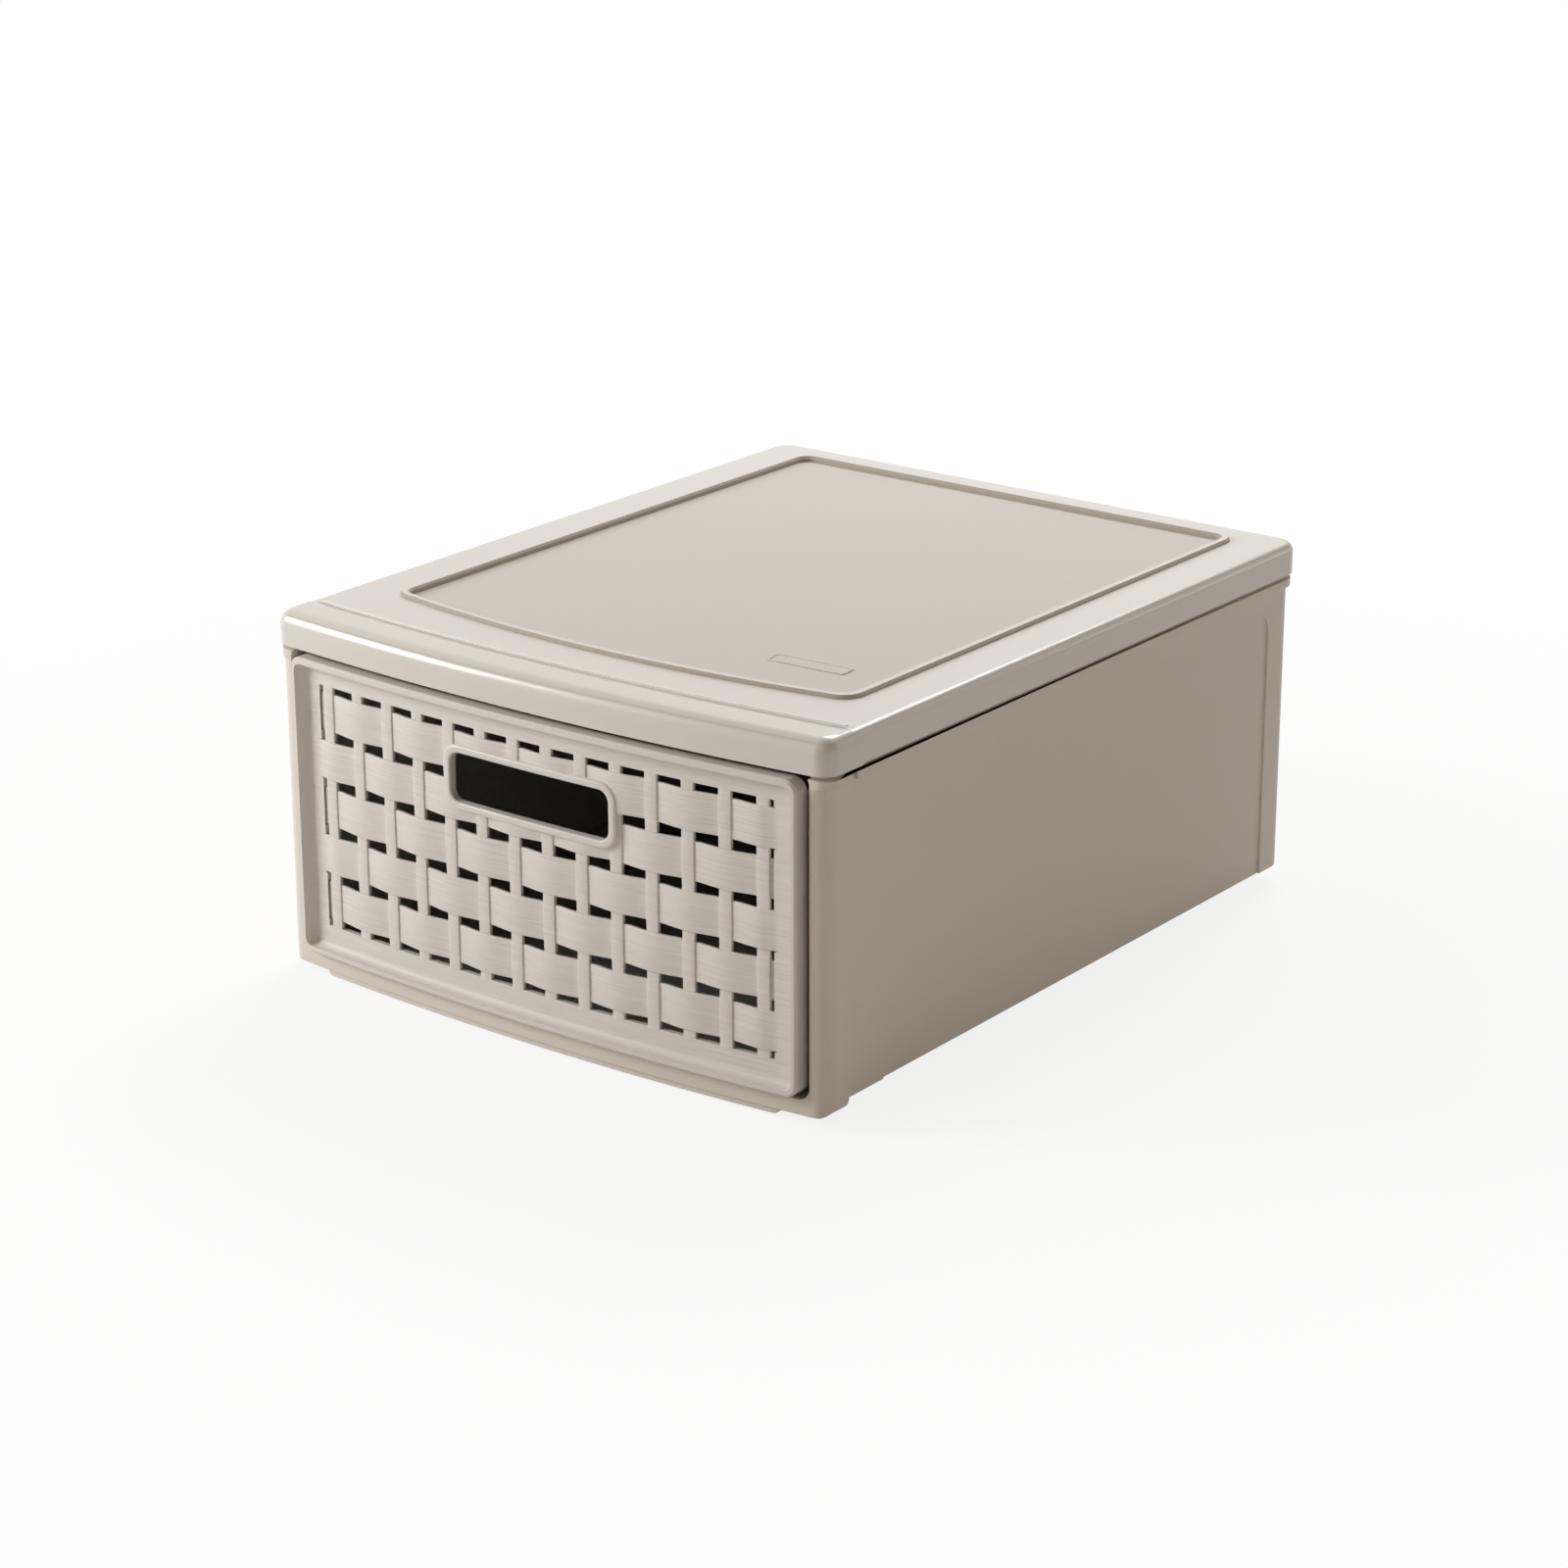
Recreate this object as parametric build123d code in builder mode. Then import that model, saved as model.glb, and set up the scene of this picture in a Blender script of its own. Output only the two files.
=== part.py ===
from build123d import *
import os
from math import atan, degrees, sqrt

# Stackable drawer box: a housing whose front bows outward, a lid that is pressed onto it,
# and one full-width drawer whose front is a moulded basket weave round a grip hole.
# Millimetres. +Z is up, the front faces -Y, the origin is the middle of the footprint.

# ---- driving dimensions -------------------------------------------------------------
overall_width = 330.0  # across the lid's front band
overall_depth = 411.0  # from the drawer's rim to the back of the lid
overall_height = 182.5  # from the feet to the top of the lid's bead
bow_sagitta = 9.0  # how far the middle of the front stands out past its ends

# Lid
lid_wall = 2.2
lid_height = 17.5  # from the skirt's lower edge to the top of the bead
lid_edge_radius = 4.6
lid_front_corner = 9.0
lid_rear_corner = 11.5
band_depth = 25.0  # the raised band along the front of the lid
band_side_step = 1.2
band_top_step = 0.9
band_edge_radius = 7.4
band_corner = 9.6
bead_width = 5.0  # the raised bead round the lid's panel
bead_height = 1.8
bead_edge_chamfer = 1.1
bead_corner = 11.0
bead_side_margin = 28.0  # from the widest point of the lid to the bead
bead_rear_margin = 17.2
bead_front_margin = 49.5
bead_front_sagitta = 13.3
panel_sink = 1.2  # the panel's surface below the lid's surface

# Housing
wall = 2.6
lid_overhang = 3.5  # the side wall inside the widest point of the lid
lid_rear_overhang = 2.2
lid_fit = 0.3  # clearance between the neck and the lid's skirt
shadow_gap = 2.2  # open groove between the collar and the lid's skirt
collar_height = 4.3
collar_step = 2.1
collar_notch = 5.0  # gap between the collar's front and side stretches
neck_wall = 2.4
side_corner = 11.0
edge_lift = 4.5  # the walls' lower edge above the frame's lower edge
floor_thickness = 2.2
recess_depth = 1.1
recess_front_margin = 28.3  # from the frame's rear edge
recess_rear_margin = 23.3
recess_top_margin = 9.0  # below the collar
recess_corner = 12.0

# Front frame of the housing: two posts and the rail below the drawer
frame_set_back = 1.0  # behind the lid's skirt
frame_step = 1.6  # proud of the side wall
frame_depth = 25.7  # from the crown of the frame to its rear edge
frame_corner = 9.0
frame_collar_step = 1.7
post_width = 9.0
post_return = 14.0  # depth of the posts' inner returns
rail_lip = 0.8  # the rail's top above the floor
frame_low_corner = 5.0
opening_corner = 6.0
header_gap = 0.5  # the header's lower edge above the skirt's lower edge

# Feet
foot_height = 4.0  # the frame's lower edge above the ground
foot_rib = 2.4
foot_set_back = 5.0
foot_lift_gap = 0.1  # between the front foot and the band of the box below
front_foot_margin = 26.0  # from the frame's side to the end of the front foot
front_foot_corner = 3.0
stack_clearance = 1.0  # between the foot ring and the bead of the box below

# Guides inside the housing
runner_spacing = 220.0
runner_width = 8.0
guide_shelf = 2.0
guide_fin = 2.0
guide_fin_height = 6.4
guide_lip = 2.4
guide_set_back = 8.0  # behind the posts' inner returns
guide_rear_gap = 12.0
bumper_width = 16.0
bumper_height = 12.0
bumper_gap = 0.3

# Drawer
travel = 300.0
side_gap = 3.6  # between the drawer front and each post
front_low_gap = 1.5  # between the drawer front and the rail
front_top_gap = 2.6  # between the drawer front and the lid's skirt
rim_proud = 3.5  # the rim's face in front of the lid's skirt
rim_wall = 3.0
rim_corner = 6.5
rim_edge_chamfer = 1.0
face_recess = 5.6  # the woven face behind the rim
face_thickness = 2.5
face_corner = 4.0
face_cove = 3.4
tray_wall = 2.2
tray_side_step = 2.0  # the tray's upper edge inside the drawer front's side
tray_draft = 2.5
tray_top_step = 6.5  # the tray's upper edge below the drawer front's
tray_corner = 10.0
tray_rear_gap = 6.4
tray_flange = 1.8
flange_thickness = 2.0
flange_gap = 0.7
shelf_gap = 0.4
skid_width = 4.0
glide = 0.3
stop_width = 4.3
stop_length = 14.0
stop_height = 18.0  # above the tray's upper edge
stop_root = 14.0  # below it, on the inside of the tray's wall
stop_inset = 0.8  # between a stop tab and the guide's lip
stop_gap = 0.5
stop_corner = 4.0

# Basket weave of the drawer front
weave_side_margin = 15.0  # from the drawer front's side to the weave
weave_low_margin = 14.4  # from the drawer front's lower edge to the weave
weave_top_margin = 12.6
weave_rows = 5
weave_columns = 14
column_margin = 5.8  # from the side of the weave to the middle of the last strip
slot_height = 4.4
end_slot_height = 3.3
band_bulge = 1.2
band_dip = 0.6
band_back = 0.6  # the bands' back behind the face's back
strip_width = 6.8
strip_dip = 0.9  # how far it sinks below its middle where it passes under
strip_thickness = 1.6
strip_bulge = 0.8
strip_middle = -0.3
weave_root = 1.0  # how far bands and strips run into the frame round the weave

# Grip hole and its collar
grip_width = 90.5
grip_height = 22.0
grip_corner = 6.0
grip_collar_width = 101.5
grip_collar_height = 30.0
grip_collar_corner = 9.0
grip_collar_proud = 2.4
grip_collar_depth = 7.0

# ---- derived levels and lines -------------------------------------------------------
half_width = overall_width / 2
lid_rear = overall_depth / 2
crown_y = rim_proud - overall_depth / 2
bow_radius = (half_width**2 + bow_sagitta**2) / (2 * bow_sagitta)
bow_centre = crown_y + bow_radius

skirt_z = overall_height - lid_height
lid_surface = overall_height - bead_height
band_surface = lid_surface + band_top_step
panel_surface = lid_surface - panel_sink
lid_half = half_width - band_side_step
bead_half = half_width - bead_side_margin
bead_rear = lid_rear - bead_rear_margin
bead_crown = crown_y + bead_front_margin

housing_half = half_width - lid_overhang
housing_rear = lid_rear - lid_rear_overhang
frame_half = housing_half + frame_step
frame_rear = crown_y + frame_set_back + frame_depth
frame_low = foot_height
front_foot_low = band_top_step + foot_lift_gap
floor_low = frame_low + edge_lift
floor_top = floor_low + floor_thickness
rail_top = floor_top + rail_lip
collar_top = skirt_z - shadow_gap
collar_low = collar_top - collar_height
neck_inset = lid_wall + lid_fit
neck_half = lid_half - neck_inset
neck_rear = lid_rear - neck_inset
neck_offset = -band_side_step - neck_inset
neck_top = lid_surface - lid_wall
opening_half = frame_half - post_width
header_z = skirt_z + header_gap
cavity_half = housing_half - wall
cavity_rear = housing_rear - wall

front_half = opening_half - side_gap
front_low = rail_top + front_low_gap
front_top = skirt_z - front_top_gap
tray_half = front_half - tray_side_step
face_offset = rim_proud - face_recess
face_back = face_offset - face_thickness
tray_low = front_low
tray_top = front_top - tray_top_step
tray_height = tray_top - tray_low
tray_rear = cavity_rear - tray_rear_gap
tray_angle = degrees(atan(tray_draft / tray_height))
flange_half = tray_half + tray_flange
flange_rear = tray_rear + tray_flange
shelf_low = tray_top + shelf_gap
fin_face = flange_half + flange_gap
weave_half = front_half - weave_side_margin
weave_low = front_low + weave_low_margin
weave_high = front_top - weave_top_margin
row_pitch = (weave_high - weave_low - 2 * end_slot_height + slot_height) / weave_rows
band_height = row_pitch - slot_height
column_pitch = 2 * (weave_half - column_margin) / (weave_columns - 1)
grip_z = weave_high - end_slot_height - band_height - slot_height / 2
stop_outer = fin_face - guide_lip - stop_inset
stop_front = bow_centre - sqrt((bow_radius + neck_offset - neck_wall) ** 2 - stop_outer**2)
stop_front += travel + stop_gap


def bow_y(x, offset):
    """Y at x of the arc that stands `offset` in front of the lid's skirt."""
    return bow_centre - sqrt((bow_radius + offset) ** 2 - x**2)


def bow_point(x, offset):
    """Point on that arc."""
    return (x, bow_y(x, offset))


def bow_arc(half, offset):
    """The arc itself, from x = -half to x = half."""
    return ThreePointArc(bow_point(-half, offset), bow_point(0, offset), bow_point(half, offset))


def bowed_box(z, half, front_offset, rear, front_corner=0.0, rear_corner=0.0):
    """Plan at height z with straight sides, a straight back and the bow as its front."""
    with BuildSketch(Plane.XY.offset(z)) as plan:
        with BuildLine():
            front = bow_arc(half, front_offset)
            Polyline(front @ 1, (half, rear), (-half, rear), front @ 0)
        make_face()
        if front_corner:
            fillet(plan.vertices().group_by(Axis.Y)[0], front_corner)
        if rear_corner:
            fillet(plan.vertices().group_by(Axis.Y)[-1], rear_corner)
    return plan.sketch


def bowed_slab(z, half, front_offset, rear_offset, corner=0.0):
    """Plan at height z of an even strip that follows the bow."""
    with BuildSketch(Plane.XY.offset(z)) as plan:
        with BuildLine():
            front = bow_arc(half, front_offset)
            rear = bow_arc(half, rear_offset)
            Line(front @ 0, rear @ 0)
            Line(front @ 1, rear @ 1)
        make_face()
        if corner:
            fillet(plan.vertices().group_by(Axis.Y)[0], corner)
    return plan.sketch


def bead_outline(z, spread):
    """Plan at height z of the lid bead's outer edge, made `spread` larger all round."""
    with BuildSketch(Plane.XY.offset(z)) as plan:
        with BuildLine():
            front = ThreePointArc(
                (-bead_half, bead_crown + bead_front_sagitta),
                (0, bead_crown),
                (bead_half, bead_crown + bead_front_sagitta),
            )
            Polyline(front @ 1, (bead_half, bead_rear), (-bead_half, bead_rear), front @ 0)
        make_face()
        fillet(plan.vertices(), bead_corner)
        if spread:
            offset(amount=spread, mode=Mode.REPLACE)
    return plan.sketch


def rounded_window(half, low, high, corner):
    """Elevation of a rectangle with rounded corners, seen from the front."""
    with BuildSketch(Plane.XZ) as window:
        with Locations((0, (low + high) / 2)):
            RectangleRounded(2 * half, high - low, corner)
    return window.sketch


# ---- lid ----------------------------------------------------------------------------
with BuildPart() as lid_band:
    extrude(
        bowed_slab(skirt_z, half_width, 0, -band_depth, band_corner),
        amount=band_surface - skirt_z,
    )
    band_top_edges = lid_band.faces().sort_by(Axis.Z)[-1].edges()
    fillet(band_top_edges.sort_by(Axis.Y)[:-1], band_edge_radius)

with BuildPart() as lid:
    extrude(
        bowed_box(skirt_z, lid_half, -band_side_step, lid_rear, lid_front_corner, lid_rear_corner),
        amount=lid_surface - skirt_z,
    )
    fillet(lid.faces().sort_by(Axis.Z)[-1].edges(), lid_edge_radius)
    add(lid_band.part)
    # The raised bead, rounded on both sides, and the panel sunk inside it
    with BuildSketch(Plane.XY.offset(lid_surface)):
        add(bead_outline(lid_surface, 0))
        add(bead_outline(lid_surface, -bead_width), mode=Mode.SUBTRACT)
    extrude(amount=bead_height)
    chamfer(lid.faces().sort_by(Axis.Z)[-1].edges(), bead_edge_chamfer)
    # The hollow inside the skirt
    extrude(
        bowed_box(
            skirt_z,
            lid_half - lid_wall,
            -band_side_step - lid_wall,
            lid_rear - lid_wall,
            lid_front_corner - lid_wall,
            lid_rear_corner - lid_wall,
        ),
        amount=neck_top - skirt_z,
        mode=Mode.SUBTRACT,
    )
    # The sunk panel keeps the lid's wall, so it stands out as a raised field underneath
    extrude(bead_outline(panel_surface - lid_wall, -bead_width / 2), amount=panel_sink)
    extrude(bead_outline(panel_surface, -bead_width), amount=panel_sink, mode=Mode.SUBTRACT)

# ---- housing ------------------------------------------------------------------------
with BuildPart() as front_frame:
    extrude(
        bowed_box(frame_low, frame_half, -frame_set_back, frame_rear, frame_corner),
        amount=collar_top - frame_low,
    )
    extrude(
        rounded_window(frame_half, frame_low, overall_height, frame_low_corner),
        amount=overall_depth,
        both=True,
        mode=Mode.INTERSECT,
    )
    # Hollow below the floor, open to the back
    extrude(
        bowed_box(frame_low, frame_half - wall, -frame_set_back - wall, frame_rear + wall),
        amount=edge_lift,
        mode=Mode.SUBTRACT,
    )

with BuildPart() as front_foot:
    extrude(
        bowed_slab(
            front_foot_low, frame_half - front_foot_margin,
            -frame_set_back - foot_set_back, -frame_set_back - foot_set_back - foot_rib,
        ),
        amount=floor_low + floor_thickness / 2 - front_foot_low,
    )
    fillet(front_foot.edges().filter_by(Axis.Y).group_by(Axis.Z)[0], front_foot_corner)

with BuildPart() as housing:
    extrude(
        bowed_box(
            floor_low, housing_half, -frame_set_back, housing_rear, frame_corner, side_corner
        ),
        amount=collar_top - floor_low,
    )
    # Collar round the walls, cut away behind the frame to leave a notch
    extrude(
        bowed_box(
            collar_low,
            housing_half + collar_step,
            -frame_set_back,
            housing_rear + collar_step,
            frame_corner,
            side_corner + collar_step,
        ),
        amount=collar_height,
    )
    with BuildSketch(Plane.XY.offset(collar_low)):
        with Locations((0, frame_rear + collar_notch / 2)):
            Rectangle(overall_width, collar_notch)
            Rectangle(2 * housing_half, collar_notch, mode=Mode.SUBTRACT)
    extrude(amount=collar_height, mode=Mode.SUBTRACT)
    add(front_frame.part)
    extrude(
        bowed_box(
            collar_low, frame_half + frame_collar_step, -frame_set_back, frame_rear, frame_corner
        ),
        amount=collar_height,
    )
    # Neck that the lid's skirt fits over
    extrude(
        bowed_box(
            collar_top, neck_half, neck_offset, neck_rear,
            lid_front_corner - lid_wall, lid_rear_corner - lid_wall,
        ),
        amount=neck_top - collar_top,
    )
    # The cavity, narrower inside the neck
    extrude(
        bowed_box(
            floor_top, cavity_half, -frame_set_back - wall, cavity_rear,
            frame_corner - wall, side_corner - wall,
        ),
        amount=collar_low - floor_top,
        mode=Mode.SUBTRACT,
    )
    extrude(
        bowed_box(
            collar_low, neck_half - neck_wall, neck_offset - neck_wall, neck_rear - neck_wall,
            frame_corner - wall, side_corner - wall,
        ),
        amount=neck_top - collar_low,
        mode=Mode.SUBTRACT,
    )
    # Inner returns of the posts
    post_front = bow_y(opening_half, -frame_set_back - wall / 2)
    post_rear = bow_y(opening_half, -post_return)
    with BuildSketch(Plane.XY.offset(floor_low)):
        with Locations((0, (post_front + post_rear) / 2)):
            with GridLocations(2 * opening_half, 0, 2, 1):
                Rectangle(2 * wall, post_rear - post_front)
    extrude(amount=collar_top - floor_low)
    # The drawer's opening through the front
    with BuildSketch(Plane.XZ.offset(-post_rear - wall)):
        add(rounded_window(opening_half, rail_top, header_z, opening_corner))
    extrude(amount=overall_depth, mode=Mode.SUBTRACT)
    # Shallow panels sunk in the side walls
    panel_low = floor_low - 2 * recess_corner
    panel_high = collar_low - recess_top_margin
    panel_front = frame_rear + recess_front_margin
    panel_rear = housing_rear - recess_rear_margin
    for side in (-1, 1):
        with BuildSketch(Plane.YZ.offset(side * housing_half)):
            with Locations(((panel_front + panel_rear) / 2, (panel_low + panel_high) / 2)):
                RectangleRounded(panel_rear - panel_front, panel_high - panel_low, recess_corner)
        extrude(amount=-side * recess_depth, mode=Mode.SUBTRACT)
    # Runners on the floor, level with the rail
    runner_front = bow_y(runner_spacing / 2, -frame_set_back - wall / 2)
    with BuildSketch(Plane.XY.offset(floor_top)):
        with Locations((0, (runner_front + cavity_rear) / 2)):
            with GridLocations(runner_spacing, 0, 2, 1):
                Rectangle(runner_width, cavity_rear - runner_front)
    extrude(amount=rail_lip)
    # Guides along the walls: a shelf over the drawer's flange and a fin beside it
    guide_front = post_rear + guide_set_back
    guide_rear = cavity_rear - guide_rear_gap
    shelf_high = shelf_low + guide_shelf
    fin_low = shelf_high - guide_fin_height
    with BuildSketch(Plane.XZ.offset(-guide_rear)):
        with BuildLine():
            Polyline(
                (cavity_half + wall / 2, shelf_high),
                (fin_face - guide_lip, shelf_high),
                (fin_face - guide_lip, shelf_low),
                (fin_face, shelf_low),
                (fin_face, fin_low),
                (fin_face + guide_fin, fin_low),
                (fin_face + guide_fin, shelf_low),
                (cavity_half + wall / 2, shelf_low),
                close=True,
            )
        make_face()
        mirror(about=Plane.YZ)
    extrude(amount=guide_rear - guide_front)
    # Bumpers on the back wall that the closed drawer's flange meets
    with BuildSketch(Plane.XZ.offset(-cavity_rear)):
        with Locations((0, tray_top - flange_thickness / 2)):
            with GridLocations(runner_spacing, 0, 2, 1):
                Rectangle(bumper_width, bumper_height)
    extrude(amount=cavity_rear - flange_rear - bumper_gap)
    # Foot ring that fits round the bead of the box below
    with BuildSketch():
        add(bead_outline(0, stack_clearance + foot_rib))
        add(bead_outline(0, stack_clearance), mode=Mode.SUBTRACT)
    extrude(amount=floor_low)
    add(front_foot.part)

# ---- drawer -------------------------------------------------------------------------
with BuildPart() as face_pocket:
    extrude(
        bowed_slab(
            front_low + rim_wall, front_half - rim_wall, rim_proud + face_recess, face_offset
        ),
        amount=front_top - front_low - 2 * rim_wall,
    )
    fillet(face_pocket.edges().filter_by(Axis.Y), face_corner)
    fillet(face_pocket.faces().sort_by(Axis.Y)[-1].edges(), face_cove)

with BuildPart() as grip_collar:
    extrude(
        bowed_slab(
            grip_z - grip_collar_height / 2,
            grip_collar_width / 2,
            face_offset + grip_collar_proud,
            face_offset + grip_collar_proud - grip_collar_depth,
        ),
        amount=grip_collar_height,
    )
    fillet(grip_collar.edges().filter_by(Axis.Y), grip_collar_corner)
    extrude(
        rounded_window(
            grip_width / 2, grip_z - grip_height / 2, grip_z + grip_height / 2, grip_corner
        ),
        amount=overall_depth,
        mode=Mode.SUBTRACT,
    )


def row_low(row):
    """Height of the lower edge of a woven band, counted from the top."""
    return weave_high - end_slot_height - band_height - row * row_pitch


def strip_is_over(row, column):
    """Whether the upright strip passes in front of the band where the two cross."""
    return (row + column) % 2 == 0


def column_x(column):
    """Place of an upright strip across the front."""
    return (column - (weave_columns - 1) / 2) * column_pitch


def band_plan(row):
    """Plan of one band: it swells between two strips and dips behind the one between."""
    band_end = weave_half + weave_root
    band_middle = (band_bulge - band_dip) / 2
    with BuildSketch(Plane.XY.offset(row_low(row))) as plan:
        with BuildLine():
            start = bow_point(-band_end, face_offset)
            for column in range(weave_columns):
                swell = -band_dip if strip_is_over(row, column) else band_bulge
                end = bow_point(column_x(column) + column_pitch / 2, face_offset + band_middle)
                if column == weave_columns - 1:
                    end = bow_point(band_end, face_offset)
                ThreePointArc(start, bow_point(column_x(column), face_offset + swell), end)
                start = end
            back = bow_arc(band_end, face_back - band_back)
            Line(start, back @ 1)
            Line(bow_point(-band_end, face_offset), back @ 0)
        make_face()
    return plan.sketch


def strip_section(column):
    """Upright section of one strip, square to the bow, waving over and under the bands."""
    x = column_x(column)
    outward = (x, bow_y(x, face_offset) - bow_centre)
    out_x = outward[0] / (bow_radius + face_offset)
    out_y = outward[1] / (bow_radius + face_offset)
    across = Plane(
        origin=(x, bow_y(x, face_offset), 0), x_dir=(out_x, out_y, 0), z_dir=(out_y, -out_x, 0)
    )
    with BuildSketch(across) as section:
        with BuildLine():
            start = (strip_middle, weave_high + weave_root)
            high = weave_high - end_slot_height / 2
            back = strip_middle - strip_thickness
            Line(start, (strip_middle, high))
            for row in range(weave_rows):
                low = row_low(row) - slot_height / 2
                if row == weave_rows - 1:
                    low = weave_low + end_slot_height / 2
                swell = strip_bulge - strip_middle
                if not strip_is_over(row, column):
                    swell = -strip_dip
                crest = (strip_middle + swell, (low + high) / 2)
                ThreePointArc((strip_middle, high), crest, (strip_middle, low))
                high = low
            end = (strip_middle, weave_low - weave_root)
            Polyline((strip_middle, low), end, (back, end[1]), (back, start[1]), start)
        make_face()
    return section.sketch


with BuildPart() as front:
    extrude(bowed_slab(front_low, front_half, rim_proud, face_back), amount=front_top - front_low)
    fillet(front.edges().filter_by(Axis.Y), rim_corner)
    chamfer(front.faces().sort_by(Axis.Y)[0].edges(), rim_edge_chamfer)
    add(face_pocket.part, mode=Mode.SUBTRACT)
    # The window of the weave
    with BuildSketch(Plane.XZ):
        with Locations((0, (weave_low + weave_high) / 2)):
            Rectangle(2 * weave_half, weave_high - weave_low)
    extrude(amount=overall_depth, mode=Mode.SUBTRACT)
    for row in range(weave_rows):
        extrude(band_plan(row), amount=band_height)
    for column in range(weave_columns):
        extrude(strip_section(column), amount=strip_width / 2, both=True)
    # The grip hole, cleared a little wider than the collar's own hole
    clear_half = (grip_width + grip_collar_width) / 4
    clear_rise = (grip_height + grip_collar_height) / 4
    extrude(
        rounded_window(clear_half, grip_z - clear_rise, grip_z + clear_rise, grip_corner),
        amount=overall_depth,
        mode=Mode.SUBTRACT,
    )
    add(grip_collar.part)

with BuildPart() as tray:
    extrude(
        bowed_box(
            tray_low,
            tray_half - tray_draft,
            face_offset,
            tray_rear - tray_draft,
            rear_corner=tray_corner,
        ),
        amount=tray_height,
        taper=-tray_angle,
    )
    extrude(
        bowed_box(
            tray_top - flange_thickness,
            flange_half,
            face_back,
            flange_rear,
            rear_corner=tray_corner + tray_flange,
        ),
        amount=flange_thickness,
    )
    extrude(
        bowed_box(tray_low, overall_width, face_offset - tray_wall / 2, overall_depth),
        amount=overall_height,
        mode=Mode.INTERSECT,
    )
    # The tray's inside, open to the woven front
    extrude(
        bowed_box(
            tray_low + tray_wall,
            tray_half - tray_draft - tray_wall,
            rim_proud,
            tray_rear - tray_draft - tray_wall,
            rear_corner=tray_corner - tray_wall,
        ),
        amount=tray_height,
        taper=-tray_angle,
        mode=Mode.SUBTRACT,
    )
    # Skids that glide on the housing's runners
    skid_front = bow_y(runner_spacing / 2, face_back)
    skid_rear = tray_rear - tray_draft - tray_corner
    with BuildSketch(Plane.XY.offset(rail_top + glide)):
        with Locations((0, (skid_front + skid_rear) / 2)):
            with GridLocations(runner_spacing, 0, 2, 1):
                Rectangle(skid_width, skid_rear - skid_front)
    extrude(amount=front_low_gap - glide)
    # Stop tabs that meet the housing's header when the drawer is fully out
    stop_middle = tray_top + (stop_height - stop_root) / 2
    for side in (-1, 1):
        with BuildSketch(Plane.YZ.offset(side * stop_outer)):
            with Locations((stop_front + stop_length / 2, stop_middle)):
                RectangleRounded(stop_length, stop_height + stop_root, stop_corner)
        extrude(amount=-side * stop_width)

with BuildPart() as drawer:
    add(front.part)
    add(tray.part)

# ---- files --------------------------------------------------------------------------
os.makedirs("parts", exist_ok=True)
lid.part.label = "lid"
housing.part.label = "housing"
drawer.part.label = "drawer"
export_step(lid.part, "parts/lid.step")
export_step(housing.part, "parts/housing.step")
export_step(drawer.part, "parts/drawer.step")
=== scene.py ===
import math

import bmesh
import bpy
from mathutils import Matrix, Vector


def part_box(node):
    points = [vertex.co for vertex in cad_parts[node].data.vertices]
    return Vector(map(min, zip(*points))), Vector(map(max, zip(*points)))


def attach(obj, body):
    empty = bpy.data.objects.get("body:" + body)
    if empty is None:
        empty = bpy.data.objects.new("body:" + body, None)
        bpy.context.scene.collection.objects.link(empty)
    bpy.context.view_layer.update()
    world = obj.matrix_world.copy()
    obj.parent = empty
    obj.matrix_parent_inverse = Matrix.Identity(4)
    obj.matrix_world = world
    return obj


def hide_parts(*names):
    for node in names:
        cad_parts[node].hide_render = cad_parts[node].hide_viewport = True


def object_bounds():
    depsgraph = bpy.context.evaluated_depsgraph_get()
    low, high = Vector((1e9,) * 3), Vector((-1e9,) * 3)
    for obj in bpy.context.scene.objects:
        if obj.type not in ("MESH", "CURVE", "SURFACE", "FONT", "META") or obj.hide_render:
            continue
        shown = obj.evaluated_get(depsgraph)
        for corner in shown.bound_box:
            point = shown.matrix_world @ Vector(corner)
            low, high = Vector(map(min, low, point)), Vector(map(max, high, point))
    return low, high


# Looks of the stackable drawer box. Metres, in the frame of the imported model: +Z up, the
# front towards -Y, the origin in the middle of the footprint.

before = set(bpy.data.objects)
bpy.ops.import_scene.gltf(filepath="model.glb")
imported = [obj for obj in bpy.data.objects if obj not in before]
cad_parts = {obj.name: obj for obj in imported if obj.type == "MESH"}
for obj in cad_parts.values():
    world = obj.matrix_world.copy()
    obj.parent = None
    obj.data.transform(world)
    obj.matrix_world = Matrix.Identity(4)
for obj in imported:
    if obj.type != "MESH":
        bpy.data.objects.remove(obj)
cad_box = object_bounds()
MM = 0.001

# ---- sizes that the looks share with the model ------------------------------------------
WIDTH = (cad_box[1] - cad_box[0])[0]
BOW_SAGITTA = 9.0 * MM
BOW_RADIUS = ((WIDTH / 2) ** 2 + BOW_SAGITTA**2) / (2 * BOW_SAGITTA)
RIM_PROUD = 3.5 * MM
BOW_CENTRE = cad_box[0][1] + RIM_PROUD + BOW_RADIUS
BOW_FRONT = BOW_CENTRE - BOW_RADIUS
FACE_OFFSET = RIM_PROUD - 5.6 * MM  # the woven face, from the line of the lid's skirt
FRONT_DEPTH = 15.0 * MM  # the drawer's front ends before this, behind the same line

LID_TOP = cad_box[1][2]
PANEL_SURFACE = LID_TOP - 3.0 * MM
# The bead's sides, within BEAD_HALF, BEAD_FRONT and the two heights below, get a darker
# colour as painted shade.
BEAD_HALF = 140.0 * MM  # the bead round the panel lies within this and BEAD_FRONT
BEAD_FRONT = -166.0 * MM
BEAD_SHADE_LOW = PANEL_SURFACE + 0.2 * MM
BEAD_SHADE_HIGH = LID_TOP - 0.15 * MM

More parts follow.
